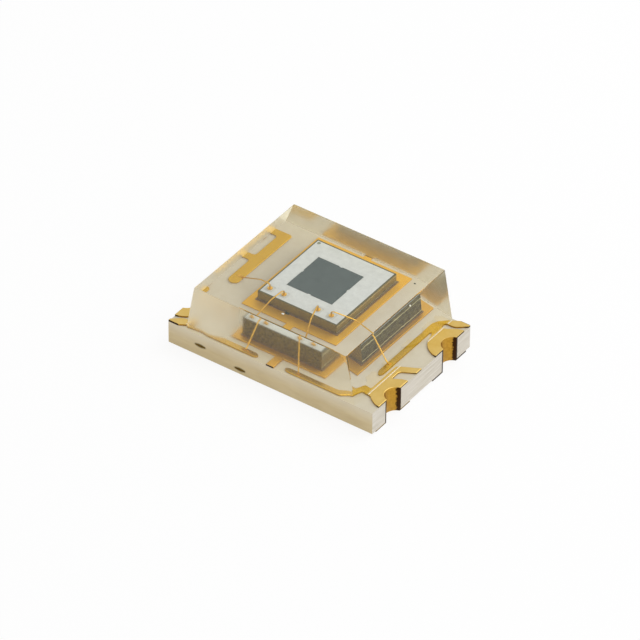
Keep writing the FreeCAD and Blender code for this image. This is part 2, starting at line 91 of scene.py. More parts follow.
def add(tree: bpy.types.NodeTree, kind: str, feeds: dict[int | str, Feed] | None = None,
        **settings: object) -> bpy.types.Node:
    """Adds one node with its settings and what feeds its inputs.

    Args:
        tree: the material's or world's node tree.
        kind: the node's type.
        feeds: for each input, by name or place, the socket that feeds it or its plain value.
        settings: the node's own properties.

    Returns:
        The new node.
    """
    node = tree.nodes.new(kind)
    for name, setting in settings.items():
        setattr(node, name, setting)
    for place, feed in (feeds or {}).items():
        if isinstance(feed, bpy.types.NodeSocket):
            tree.links.new(feed, node.inputs[place])
        else:
            node.inputs[place].default_value = feed
    return node


def on_end_and_top(tree: bpy.types.NodeTree) -> tuple[bpy.types.NodeSocket, ...]:
    """Tells a piece's ends and its top from its sides.

    Args:
        tree: the material's nodes.

    Returns:
        A socket that is 1 where a face looks along X and else 0, and one that does so along Z.
    """
    facing = add(tree, "ShaderNodeNewGeometry").outputs["Normal"]
    turned = add(tree, "ShaderNodeVectorMath", {0: facing}, operation="ABSOLUTE")
    axes = add(tree, "ShaderNodeSeparateXYZ", {0: turned.outputs[0]})
    return tuple(
        add(tree, "ShaderNodeMath", {0: axes.outputs[axis], 1: FACING}, operation="GREATER_THAN").outputs[0]
        for axis in "XZ"
    )


def empty_material(name: str) -> bpy.types.Material:
    """Starts a material with no nodes in its tree.

    Args:
        name: the material's name.

    Returns:
        The new material.
    """
    material = bpy.data.materials.new(name)
    material.use_nodes = True
    material.node_tree.nodes.clear()
    return material


# Finishes, each named for its real material and how it was made. The white beads are named for the
# painted glint that they stand for.


@dataclass(frozen=True)
class SawnLaminate:
    """Glass-epoxy laminate: resin with glass cloth in it, etched on top and sawn on its sides.

    To the eye, the top is cream and faintly mottled by the cloth under the resin. The ends show the cut
    fibres as fine pale streaks along the board. The sides are tan with faint layers, paler towards the
    top, and brown where the saw smeared the inner copper. A single fibre is too fine to show, so a streak
    is drawn as thick as a few of them.
    """

    top_pale: str = "#DBD3BE"
    top_deep: str = "#CDC3A9"
    end_pale: str = "#DDD7CC"
    end_deep: str = "#BFB7A5"
    side_pale: str = "#DCC99E"
    side_deep: str = "#CFBA8D"
    side_crest: str = "#E4DAC4"
    crest_mm: tuple[float, float] = (0.2, 0.42)
    crest_share: float = 0.7
    smear: str = "#5E4700"
    smear_mm: tuple[float, float] = (0.115, 0.042)
    smear_edge: tuple[float, float] = (0.5, 1.1)
    cloth_mm: float = 0.16
    fibre_mm: tuple[float, float, float] = (0.5, 0.5, 0.016)
    layer_mm: tuple[float, float, float] = (0.5, 0.5, 0.12)
    streak_edge: tuple[float, float] = (0.3, 0.7)
    relief_mm: float = 0.004
    roughness: float = 0.6
    ior: float = 1.52

    def material(self, stubs: list[Vector]) -> bpy.types.Material:
        """Makes the laminate's material.

        Args:
            stubs: middles of the inner copper's sawn ends, which the saw smeared over the side.

        Returns:
            The material.
        """
        material = empty_material("glass_epoxy_laminate_sawn")
        tree = material.node_tree
        where = add(tree, "ShaderNodeTexCoord").outputs["Object"]
        on_end, on_top = on_end_and_top(tree)

        cloth = add(tree, "ShaderNodeTexNoise", {
            "Vector": where, "Scale": per_metre(self.cloth_mm), "Detail": 4.0, "Roughness": 0.6,
        })
        fibres = self.streaks(tree, where, self.fibre_mm)
        layers = self.streaks(tree, where, self.layer_mm)
        top = add(tree, "ShaderNodeMix", {
            0: cloth.outputs["Fac"], 6: linear(self.top_deep), 7: linear(self.top_pale),
        }, data_type="RGBA")
        end = add(tree, "ShaderNodeMix", {
            0: fibres, 6: linear(self.end_deep), 7: linear(self.end_pale),
        }, data_type="RGBA")
        side = add(tree, "ShaderNodeMix", {
            0: layers, 6: linear(self.side_deep), 7: linear(self.side_pale),
        }, data_type="RGBA")
        height = add(tree, "ShaderNodeSeparateXYZ", {0: where})
        start, stop = self.crest_mm
        crest = add(tree, "ShaderNodeMapRange", {
            0: height.outputs["Z"], 1: start * MM, 2: stop * MM, 4: self.crest_share,
        })
        faded = add(tree, "ShaderNodeMix", {
            0: crest.outputs[0], 6: side.outputs[2], 7: linear(self.side_crest),
        }, data_type="RGBA")
        smeared = add(tree, "ShaderNodeMix", {
            0: self.smears(tree, where, stubs), 6: faded.outputs[2], 7: linear(self.smear),
        }, data_type="RGBA")
        cut = add(tree, "ShaderNodeMix", {
            0: on_end, 6: smeared.outputs[2], 7: end.outputs[2],
        }, data_type="RGBA")
        colour = add(tree, "ShaderNodeMix", {
            0: on_top, 6: cut.outputs[2], 7: top.outputs[2],
        }, data_type="RGBA")
        relief = add(tree, "ShaderNodeBump", {
            "Strength": 0.25, "Distance": self.relief_mm * MM, "Height": fibres,
        })
        shader = add(tree, "ShaderNodeBsdfPrincipled", {
            "Base Color": colour.outputs[2], "Roughness": self.roughness, "IOR": self.ior,
            "Normal": relief.outputs[0],
        })
        add(tree, "ShaderNodeOutputMaterial", {"Surface": shader.outputs[0]})
        return material

    def smears(self, tree: bpy.types.NodeTree, where: bpy.types.NodeSocket,
               stubs: list[Vector]) -> bpy.types.NodeSocket:
        """Soft spots around the sawn ends of the inner copper.

        Args:
            tree: the material's nodes.
            where: object coordinates.
            stubs: middle of each sawn end.

        Returns:
            A socket that is 1 at a spot's middle and 0 outside it.
        """
        along, upright = self.smear_mm
        edge_start, edge_stop = self.smear_edge
        spots = []
        for middle in stubs:
            offset = add(tree, "ShaderNodeVectorMath", {0: where, 1: tuple(middle)}, operation="SUBTRACT")
            shares = add(tree, "ShaderNodeVectorMath", {
                0: offset.outputs[0], 1: (per_metre(along), per_metre(along), per_metre(upright)),
            }, operation="MULTIPLY")
            away = add(tree, "ShaderNodeVectorMath", {0: shares.outputs[0]}, operation="LENGTH")
            spots.append(add(tree, "ShaderNodeMapRange", {
                0: away.outputs["Value"], 1: edge_start, 2: edge_stop, 3: 1.0, 4: 0.0,
            }))
        darkest = spots[0].outputs[0]
        for spot in spots[1:]:
            darkest = add(tree, "ShaderNodeMath", {
                0: darkest, 1: spot.outputs[0],
            }, operation="MAXIMUM").outputs[0]
        return darkest

    def streaks(self, tree: bpy.types.NodeTree, where: bpy.types.NodeSocket,
                sizes_mm: tuple[float, float, float]) -> bpy.types.NodeSocket:
        """Noise drawn out along the cut.

        Args:
            tree: the material's nodes.
            where: object coordinates.
            sizes_mm: length of a streak along X, Y and Z.

        Returns:
            A socket from 0 to 1.
        """
        drawn = add(tree, "ShaderNodeVectorMath", {
            0: where, 1: tuple(per_metre(size) for size in sizes_mm),
        }, operation="MULTIPLY")
        noise = add(tree, "ShaderNodeTexNoise", {
            "Vector": drawn.outputs[0], "Scale": 1.0, "Detail": 3.0, "Roughness": 0.6,
        })
        start, stop = self.streak_edge
        sharper = add(tree, "ShaderNodeMapRange", {0: noise.outputs["Fac"], 1: start, 2: stop})
        return sharper.outputs[0]


@dataclass(frozen=True)
class ElectroplatedGold:
    """Gold plated over nickel and etched copper, with bare sawn copper where the saw cut it.

    To the eye, the plating is a warm, slightly cloudy yellow with a satin gloss. In the drilled barrels it
    sees itself, so its colour there is painted deeper and more orange, a painted reflection. A ragged dark
    band runs along the saw's cut: the cut's burr, with painted shade on the barrel wall beside it.
    Out in the open its colour is painted paler, a painted sheen that it loses under the epoxy, where it
    looks richer and its roughness changes by sealed_shift.
    The cut ends are dull copper drawn nearly black, partly painted shade. The real grain is too fine to
    show, so it is drawn coarse enough to break the gloss.
    """

    name: str = "gold_electroplated_satin"
    # The open gold's paler shades carry a painted sheen. The sealed shades have none.
    pale: str = "#DCC07C"
    deep: str = "#C5A24A"
    sealed_pale: str = "#D2AD38"
    sealed_deep: str = "#C19625"
    # The barrels' deeper, more orange gold is a painted reflection of the plating in itself.
    barrel: str = "#D8A944"
    barrel_deep: str = "#986B22"
    # The dark band along the saw's cut: the cut's burr, with painted shade on the barrel wall beside it.
    burr_and_shade: str = "#3A2410"
    burr_and_shade_mm: float = 0.095
    burr_and_shade_reach: tuple[float, float] = (-0.5, 0.6)
    burr_and_shade_edge: tuple[float, float] = (0.4, 0.6)
    ragged_mm: float = 0.045
    # Sawn copper, drawn nearly black: its dull colour with painted shade.
    cut_copper: str = "#2E1C0C"
    cloud_mm: float = 0.22
    grain_mm: float = 0.012
    grain_edge: tuple[float, float] = (0.3, 0.7)
    relief_mm: float = 0.0015
    saw_planes_mm: tuple[float, float] = (1.8995, 1.293)
    foot_mm: float = 1.571
    wall_facing: float = 0.3
    roughness: tuple[float, float] = (0.28, 0.42)
    sealed_shift: float = -0.06

    def material(self) -> bpy.types.Material:
        """Makes the plating's material.

        Returns:
            The material.
        """
        material = empty_material(self.name)
        tree = material.node_tree
        where = add(tree, "ShaderNodeTexCoord").outputs["Object"]
        facing = add(tree, "ShaderNodeNewGeometry").outputs["Normal"]
        turned = add(tree, "ShaderNodeVectorMath", {0: facing}, operation="ABSOLUTE")
        axes = add(tree, "ShaderNodeSeparateXYZ", {0: turned.outputs[0]})
        on_wall = add(tree, "ShaderNodeMath", {
            0: axes.outputs["Z"], 1: self.wall_facing,
        }, operation="LESS_THAN")
        folded = add(tree, "ShaderNodeVectorMath", {0: where}, operation="ABSOLUTE")
        reach = add(tree, "ShaderNodeSeparateXYZ", {0: folded.outputs[0]})
        past_end, past_side = (
            add(tree, "ShaderNodeMath", {0: reach.outputs[axis], 1: plane * MM}, operation="GREATER_THAN")
            for axis, plane in zip("XY", self.saw_planes_mm)
        )
        cut = add(tree, "ShaderNodeMath", {
            0: past_end.outputs[0], 1: past_side.outputs[0],
        }, operation="MAXIMUM")

        clouds = add(tree, "ShaderNodeTexNoise", {
            "Vector": where, "Scale": per_metre(self.cloud_mm), "Detail": 3.0, "Roughness": 0.55,
        })
        grain = add(tree, "ShaderNodeTexNoise", {
            "Vector": where, "Scale": per_metre(self.grain_mm), "Detail": 2.0,
        })
        sealed = add(tree, "ShaderNodeMath", {
            0: reach.outputs["X"], 1: self.foot_mm * MM,
        }, operation="LESS_THAN")
        # In the open the colour carries a painted sheen. Under the epoxy it does not.
        open_air, under_epoxy = (
            add(tree, "ShaderNodeMix", {
                0: clouds.outputs["Fac"], 6: linear(deep), 7: linear(pale),
            }, data_type="RGBA")
            for deep, pale in ((self.deep, self.pale), (self.sealed_deep, self.sealed_pale))
        )
        barrels = add(tree, "ShaderNodeMix", {
            0: on_wall.outputs[0], 6: open_air.outputs[2], 7: self.barrel_colour(tree, where, reach),
        }, data_type="RGBA")
        walls = add(tree, "ShaderNodeMix", {
            0: sealed.outputs[0], 6: barrels.outputs[2], 7: under_epoxy.outputs[2],
        }, data_type="RGBA")
        # The cut ends take the nearly black copper, partly painted shade.
        colour = add(tree, "ShaderNodeMix", {
            0: cut.outputs[0], 6: walls.outputs[2], 7: linear(self.cut_copper),
        }, data_type="RGBA")
        start, stop = self.grain_edge
        glossy, dull = self.roughness
        satin = add(tree, "ShaderNodeMapRange", {
            0: grain.outputs["Fac"], 1: start, 2: stop, 3: glossy, 4: dull,
        })
        shifted = add(tree, "ShaderNodeMath", {
            0: sealed.outputs[0], 1: self.sealed_shift, 2: satin.outputs[0],
        }, operation="MULTIPLY_ADD")
        relief = add(tree, "ShaderNodeBump", {
            "Strength": 0.3, "Distance": self.relief_mm * MM, "Height": grain.outputs["Fac"],
        })
        shader = add(tree, "ShaderNodeBsdfPrincipled", {
            "Base Color": colour.outputs[2], "Metallic": 1.0, "Roughness": shifted.outputs[0],
            "Normal": relief.outputs[0],
        })
        add(tree, "ShaderNodeOutputMaterial", {"Surface": shader.outputs[0]})
        return material

    def barrel_colour(self, tree: bpy.types.NodeTree, where: bpy.types.NodeSocket,
                      reach: bpy.types.Node) -> bpy.types.NodeSocket:
        """Mottled gold of the drilled barrels, deeper as a painted reflection of the plating in itself, with
        a ragged dark band along the saw's cut: the cut's burr, and painted shade beside it.

        Args:
            tree: the material's nodes.
            where: object coordinates.
            reach: node that gives how far out each axis is.

        Returns:
            A colour socket.
        """
        mottle = add(tree, "ShaderNodeTexNoise", {
            "Vector": where, "Scale": per_metre(self.ragged_mm), "Detail": 3.0, "Roughness": 0.6,
        })
        gold = add(tree, "ShaderNodeMix", {
            0: mottle.outputs["Fac"], 6: linear(self.barrel_deep), 7: linear(self.barrel),
        }, data_type="RGBA")
        # Along the saw's cut, the burr and the painted shade beside it darken the barrel.
        plane = self.saw_planes_mm[0]
        inner, outer = self.burr_and_shade_reach
        band = add(tree, "ShaderNodeMapRange", {
            0: reach.outputs["X"], 1: (plane - self.burr_and_shade_mm) * MM, 2: plane * MM, 3: inner, 4: outer,
        })
        ragged = add(tree, "ShaderNodeMath", {0: band.outputs[0], 1: mottle.outputs["Fac"]}, operation="ADD")
        start, stop = self.burr_and_shade_edge
        burred_and_shaded = add(tree, "ShaderNodeMapRange", {0: ragged.outputs[0], 1: start, 2: stop})
        colour = add(tree, "ShaderNodeMix", {
            0: burred_and_shaded.outputs[0], 6: gold.outputs[2], 7: linear(self.burr_and_shade),
        }, data_type="RGBA")
        return colour.outputs[2]


@dataclass(frozen=True)
class MottledFinish:
    """A surface of one material whose colour wanders between two near shades, with a fine grain.

    The real grain of such small pieces is too fine to show, so its blots are drawn coarser than they are.
    """

    name: str
    pale: str
    deep: str
    mottle_mm: float
    roughness: float
    metallic: float = 0.0
    ior: float = 1.5
    mottle_edge: tuple[float, float] = (0.32, 0.68)
    relief_mm: float = 0.001

    def material(self) -> bpy.types.Material:
        """Makes the mottled material.

        Returns:
            The material.
        """
        material = empty_material(self.name)
        tree = material.node_tree
        where = add(tree, "ShaderNodeTexCoord").outputs["Object"]
        mottle = add(tree, "ShaderNodeTexNoise", {
            "Vector": where, "Scale": per_metre(self.mottle_mm), "Detail": 4.0, "Roughness": 0.6,
        })
        start, stop = self.mottle_edge
        spread = add(tree, "ShaderNodeMapRange", {0: mottle.outputs["Fac"], 1: start, 2: stop})
        colour = add(tree, "ShaderNodeMix", {
            0: spread.outputs[0], 6: linear(self.deep), 7: linear(self.pale),
        }, data_type="RGBA")
        relief = add(tree, "ShaderNodeBump", {
            "Strength": 0.3, "Distance": self.relief_mm * MM, "Height": mottle.outputs["Fac"],
        })
        shader = add(tree, "ShaderNodeBsdfPrincipled", {
            "Base Color": colour.outputs[2], "Metallic": self.metallic, "Roughness": self.roughness,
            "IOR": self.ior, "Normal": relief.outputs[0],
        })
        add(tree, "ShaderNodeOutputMaterial", {"Surface": shader.outputs[0]})
        return material


@dataclass(frozen=True)
class DicedSilicon:
    """Silicon cut out of its wafer with a diamond saw.

    To the eye, the sides are olive brown with a speckled grain. The long ends are greyer, with one
    wavering pale saw step near the top and one near the bottom. The real grain is too fine to show, so it
    is drawn much coarser.
    """

    pale: str = "#96823A"
    deep: str = "#141100"
    end_pale: str = "#6E6944"
    end_deep: str = "#242413"
    step: str = "#C6C294"
    street: str = "#54563F"
    film: str = "#C3C7BE"
    mark: str = "#828B78"
    mark_inset_mm: float = 0.07
    mark_radius_mm: float = 0.035
    mottle_mm: tuple[float, float, float] = (0.03, 0.06, 0.03)
    mottle_edge: tuple[float, float] = (0.34, 0.66)
    relief_mm: float = 0.003
    step_drops_mm: tuple[float, float] = (0.045, 0.27)
    step_width_mm: float = 0.014
    waver_height_mm: float = 0.05
    waver_length_mm: float = 0.09
    roughness: float = 0.28
    ior: float = 1.7
    sheen: str = "#B09A48"

    def material(self, chip: tuple[Vector, Vector], shield: tuple[Vector, Vector]) -> bpy.types.Material:
        """Makes the silicon's material.

        Args:
            chip: the chip's box, in metres.
            shield: the box of the shield on it.

        Returns:
            The material.
        """
        material = empty_material("silicon_diced")
        tree = material.node_tree
        where = add(tree, "ShaderNodeTexCoord").outputs["Object"]
        place = add(tree, "ShaderNodeSeparateXYZ", {0: where})
        on_end, on_top = on_end_and_top(tree)
        drawn = add(tree, "ShaderNodeVectorMath", {
            0: where, 1: tuple(per_metre(size) for size in self.mottle_mm),
        }, operation="MULTIPLY")
        mottle = add(tree, "ShaderNodeTexNoise", {
            "Vector": drawn.outputs[0], "Scale": 1.0, "Detail": 4.0, "Roughness": 0.65,
        })
        start, stop = self.mottle_edge
        spread = add(tree, "ShaderNodeMapRange", {0: mottle.outputs["Fac"], 1: start, 2: stop})
        side, end = (
            add(tree, "ShaderNodeMix", {
                0: spread.outputs[0], 6: linear(deep), 7: linear(pale),
            }, data_type="RGBA")
            for deep, pale in ((self.deep, self.pale), (self.end_deep, self.end_pale))
        )
        stepped = add(tree, "ShaderNodeMix", {
            0: self.steps(tree, where, place, chip[1].z), 6: end.outputs[2], 7: linear(self.step),
        }, data_type="RGBA")
        walls = add(tree, "ShaderNodeMix", {
            0: on_end, 6: side.outputs[2], 7: stepped.outputs[2],
        }, data_type="RGBA")
        colour = add(tree, "ShaderNodeMix", {
            0: on_top, 6: walls.outputs[2], 7: self.upper_colour(tree, where, place, chip, shield),
        }, data_type="RGBA")
        relief = add(tree, "ShaderNodeBump", {
            "Strength": 0.4, "Distance": self.relief_mm * MM, "Height": mottle.outputs["Fac"],
        })
        shader = add(tree, "ShaderNodeBsdfPrincipled", {
            "Base Color": colour.outputs[2], "Roughness": self.roughness, "IOR": self.ior,
            "Specular Tint": linear(self.sheen), "Normal": relief.outputs[0],
        })
        add(tree, "ShaderNodeOutputMaterial", {"Surface": shader.outputs[0]})
        return material

    def steps(self, tree: bpy.types.NodeTree, where: bpy.types.NodeSocket, place: bpy.types.Node,
              top: float) -> bpy.types.NodeSocket:
        """Wavering lines where one saw cut ended and the next began.

        Args:
            tree: the material's nodes.
            where: object coordinates.
            place: node that gives them axis by axis.
            top: height of the chip's top, in metres.

        Returns:
            A socket that is 1 on a line and 0 elsewhere.
        """
        wander = add(tree, "ShaderNodeTexNoise", {
            "Vector": where, "Scale": per_metre(self.waver_length_mm), "Detail": 3.0,
        })
        level = add(tree, "ShaderNodeMath", {
            0: wander.outputs["Fac"], 1: self.waver_height_mm * MM, 2: place.outputs["Z"],
        }, operation="MULTIPLY_ADD")
        upper, lower = (
            add(tree, "ShaderNodeMath", {
                0: level.outputs[0], 1: top - drop * MM, 2: self.step_width_mm * MM / 2,
            }, operation="COMPARE")
            for drop in self.step_drops_mm
        )
        return add(tree, "ShaderNodeMath", {
            0: upper.outputs[0], 1: lower.outputs[0],
        }, operation="MAXIMUM").outputs[0]

    def upper_colour(self, tree: bpy.types.NodeTree, where: bpy.types.NodeSocket, place: bpy.types.Node,
                     chip: tuple[Vector, Vector], shield: tuple[Vector, Vector]) -> bpy.types.NodeSocket:
        """Colour of the chip's upper face, where its films leave it open.

        The bare street that the saw ran in lies outside the shield's box. Inside, a pale film shows
        between the shield and the pads, and a darker one in the shield's round mark.

        Args:
            tree: the material's nodes.
            where: object coordinates.
            place: node that gives them axis by axis.
            chip: the chip's box, in metres.
            shield: the box of the shield on it.

        Returns:
            A colour socket.
        """
        along, across = (
            add(tree, "ShaderNodeMath", {
                0: place.outputs[axis], 1: (start + end) / 2, 2: (end - start) / 2,
            }, operation="COMPARE")
            for axis, start, end in zip("XY", *shield)
        )
        filmed = add(tree, "ShaderNodeMath", {
            0: along.outputs[0], 1: across.outputs[0],
        }, operation="MULTIPLY")
        plain = add(tree, "ShaderNodeMix", {
            0: filmed.outputs[0], 6: linear(self.street), 7: linear(self.film),
        }, data_type="RGBA")
        inset = self.mark_inset_mm * MM
        away = add(tree, "ShaderNodeVectorMath", {
            0: where, 1: (chip[0].x + inset, chip[1].y - inset, chip[1].z),
        }, operation="DISTANCE")
        marked = add(tree, "ShaderNodeMath", {
            0: away.outputs["Value"], 1: self.mark_radius_mm * MM,
        }, operation="LESS_THAN")
        return add(tree, "ShaderNodeMix", {
            0: marked.outputs[0], 6: plain.outputs[2], 7: linear(self.mark),
        }, data_type="RGBA").outputs[2]


@dataclass(frozen=True)
class CastEpoxy:
    """Clear epoxy cast over the chip, as one face of the block shows it.

    To the eye, a polished mould leaves a face like glass. Drawn and sawn faces are a little frosted: they
    soften what lies behind them and lay a haze over it, and where there is a cloud colour the haze is
    mottled with it. A worn spot has a roughness and a clarity of its own in its middle, which fade into
    the face's between two distances from there. Real saw marks are too fine to show, so they are drawn
    coarser.
    """

    name: str
    roughness: float
    clarity: float = 1.0
    mark_relief_mm: float = 0.0
    mark_mm: float = 0.03
    haze: str = "#FDFCF9"
    cloud: str | None = None
    worn: tuple[float, float] | None = None
    worn_spot_mm: tuple[float, float, float] = (-1.2, -1.3, 1.15)
    worn_edge_mm: tuple[float, float] = (0.4, 0.8)
    tint: str = "#FEFDFA"
    ior: float = 1.53

    def material(self) -> bpy.types.Material:
        """Makes the epoxy's material.

        Returns:
            The material.
        """
        material = empty_material(f"clear_epoxy_{self.name}")
        tree = material.node_tree
        where = add(tree, "ShaderNodeTexCoord").outputs["Object"]
        marks = add(tree, "ShaderNodeTexNoise", {
            "Vector": where, "Scale": per_metre(self.mark_mm), "Detail": 2.0,
        })
        relief = add(tree, "ShaderNodeBump", {
            "Strength": 0.3, "Distance": self.mark_relief_mm * MM, "Height": marks.outputs["Fac"],
        })
        haze, roughness, clarity = linear(self.haze), self.roughness, self.clarity
        if self.cloud:
            haze = add(tree, "ShaderNodeMix", {
                0: marks.outputs["Fac"], 6: linear(self.cloud), 7: linear(self.haze),
            }, data_type="RGBA").outputs[2]
        if self.worn:
            middle = tuple(Vector(self.worn_spot_mm) * MM)
            away = add(tree, "ShaderNodeVectorMath", {0: where, 1: middle}, operation="DISTANCE")
            start, stop = self.worn_edge_mm
            roughness, clarity = (
                add(tree, "ShaderNodeMapRange", {
                    0: away.outputs["Value"], 1: start * MM, 2: stop * MM, 3: worn, 4: fresh,
                }, interpolation_type="SMOOTHSTEP").outputs[0]
                for fresh, worn in zip((self.roughness, self.clarity), self.worn)
            )
        glass = add(tree, "ShaderNodeBsdfPrincipled", {
            "Base Color": haze, "Roughness": roughness, "IOR": self.ior,
            "Transmission Weight": clarity, "Normal": relief.outputs[0],
        })
        path = add(tree, "ShaderNodeLightPath")
        veil = add(tree, "ShaderNodeMix", {
            0: path.outputs["Is Shadow Ray"], 6: linear(self.haze), 7: linear(self.tint),
        }, data_type="RGBA")
        clear = add(tree, "ShaderNodeBsdfTransparent", {0: veil.outputs[2]})
        # Lamp light and light between the sealed pieces go straight through, which keeps the inside clean.
        through = add(tree, "ShaderNodeMath", {
            0: path.outputs["Is Singular Ray"], 1: path.outputs["Is Transmission Ray"],
        }, operation="MAXIMUM")
        dull = add(tree, "ShaderNodeMath", {
            0: path.outputs["Is Glossy Ray"], 1: through.outputs[0],
        }, operation="SUBTRACT", use_clamp=True)
        soft = add(tree, "ShaderNodeMath", {
            0: path.outputs["Is Diffuse Ray"], 1: dull.outputs[0],
        }, operation="MAXIMUM")
        straight = add(tree, "ShaderNodeMath", {
            0: path.outputs["Is Shadow Ray"], 1: soft.outputs[0],
        }, operation="MAXIMUM")
        surface = add(tree, "ShaderNodeMixShader", {
            0: straight.outputs[0], 1: glass.outputs[0], 2: clear.outputs[0],
        })
        add(tree, "ShaderNodeOutputMaterial", {"Surface": surface.outputs[0]})
        return material


# The block's top is like glass, with a clean mirror image of the white around it.
POLISHED_TOP = CastEpoxy("polished_top", 0.0)
# The near end slid out of its mould: it is clear, and barely softens what it shows.
DRAWN_END = CastEpoxy("drawn_end", 0.04)
# The far end is milky cream, with only soft shapes behind it.
FROSTED_END = CastEpoxy("frosted_end", 0.35, 0.45, haze="#EDE8D6")
# The near side is clear and a little soft, with a dull cream spot near its far upper corner.
SAWN_SIDE = CastEpoxy("sawn_side", 0.15, 0.99, mark_relief_mm=0.0008, haze="#F8F2DE", worn=(0.6, 0.68))
# The far side is frosted, and mottled in cream and tan.
FROSTED_SIDE = CastEpoxy(
    "frosted_side", 0.26, 0.72, mark_relief_mm=0.0008, mark_mm=0.12, haze="#FFF8DA", cloud="#D6CC9C",
)
# A bead of resin on the copper. Its milky pale colour is partly a painted highlight, a thin line of light.
THIN_RESIN = CastEpoxy("thin_resin", 0.2, 0.3, haze="#FBF4DE")
# Adhesive: dull amber brown, a thin dark edge round the chip's foot.
DIE_ATTACH = MottledFinish("die_attach_epoxy_cured", "#8C6E3A", "#6B5229", 0.05, 0.5)
# Sawn copper under a smear of resin, so it isn't shaded as a metal: dull olive brown, nearly without gloss.
SAWN_COPPER = MottledFinish("copper_sawn_dulled", "#7A5E14", "#4A3606", 0.03, 0.7, ior=1.2)
# The light-sensitive field: one calm blue-grey, smooth and a little glossy.
PHOTODIODE = MottledFinish("silicon_nitride_coated", "#53605D", "#475451", 0.12, 0.3, ior=1.3)
# The shield, a metal film that is matte and isn't shaded as a metal: pale cool grey, faintly clouded.
LIGHT_SHIELD = MottledFinish("aluminium_sputtered_matte", "#DADEDA", "#CDD1CD", 0.1, 0.55, ior=1.4)
# The bond pads, shaded like the shield: pale matte grey, a shade warmer.
BOND_PADS = MottledFinish("aluminium_bond_pad", "#D6D9D3", "#CBCFC8", 0.03, 0.55, ior=1.4)
# A painted glint: a white bead that stands for a point of light.
PAINTED_GLINT_BEAD = MottledFinish("white_bead_painted_glint", "#FFFFFA", "#FBF8E4", 0.01, 0.15)
# A dot of greenish black without gloss.
DARK_FLECK = MottledFinish("greenish_black_dot", "#29330F", "#121806", 0.01, 0.6, ior=1.2)
# Warm satin gold, with a narrow streak of light along each wire.
GOLD_WIRE = MottledFinish("gold_drawn_wire", "#DDB345", "#C2932C", 0.05, 0.34, metallic=1.0)


def dress(node: str, material: bpy.types.Material) -> None:
    """Gives a CAD node its material.

    Args:
        node: the node's name.
        material: what it is dressed with.
    """
    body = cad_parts[node]
    body.data.materials.clear()
    body.data.materials.append(material)
    logger.info("dressed %s in %s", node, material.name)


def node_mesh(node: str) -> bmesh.types.BMesh:
    """A CAD node's mesh in millimetres, with its flat faces whole again.

    Args:
        node: the node's name.

    Returns:
        The mesh, to be worked on and then freed by new_piece.
    """
    form = bmesh.new()
    form.from_mesh(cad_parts[node].data)
    bmesh.ops.scale(form, vec=(1 / MM,) * 3, verts=form.verts)
    bmesh.ops.remove_doubles(form, verts=form.verts, dist=SAME_MM)
    bmesh.ops.dissolve_limit(form, angle_limit=FLAT_TURN, verts=form.verts, edges=form.edges)
    return form


def round_off(form: bmesh.types.BMesh, edges: list[bmesh.types.BMEdge], reach_mm: float,
              segments: int = 2) -> None:
    """Rounds edges of a mesh in millimetres.

    Args:
        form: the mesh.
        edges: the edges to round.
        reach_mm: how far from the edge the round starts.
        segments: how many facets it has.
    """
    bmesh.ops.bevel(form, geom=edges, offset=reach_mm, segments=segments, profile=0.5, affect="EDGES",
                    clamp_overlap=True)


def new_piece(name: str, form: bmesh.types.BMesh, materials: list[bpy.types.Material]) -> bpy.types.Object:
    """Makes a piece of the object from a mesh in millimetres.

    Args:
        name: the piece's name.
        form: its mesh, which is freed.
        materials: its materials, in the order of its faces' indices.

    Returns:
        The piece, riding on the board.
    """
    bmesh.ops.scale(form, vec=(MM,) * 3, verts=form.verts)
    bmesh.ops.recalc_face_normals(form, faces=form.faces)
    mesh = bpy.data.meshes.new(name)
    form.to_mesh(mesh)
    form.free()
    for material in materials:
        mesh.materials.append(material)
    piece = bpy.data.objects.new(name, mesh)
    bpy.context.scene.collection.objects.link(piece)
    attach(piece, "root")
    logger.info("built %s with %d faces", name, len(mesh.polygons))
    return piece


@dataclass
class Board:
    """Laminate and the sawn ends of its inner copper."""

    laminate: SawnLaminate = field(default_factory=SawnLaminate)
    stubs: tuple[str, str] = ("inner_copper_stub_1", "inner_copper_stub_2")

    def build(self) -> None:
        """Dresses the board's pieces."""
        ends = []
        for node in self.stubs:
            low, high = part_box(node)
            ends.append(Vector(((low.x + high.x) / 2, low.y, (low.z + high.z) / 2)))
        dress("substrate", self.laminate.material(ends))
        copper = SAWN_COPPER.material()
        for node in self.stubs:
            dress(node, copper)


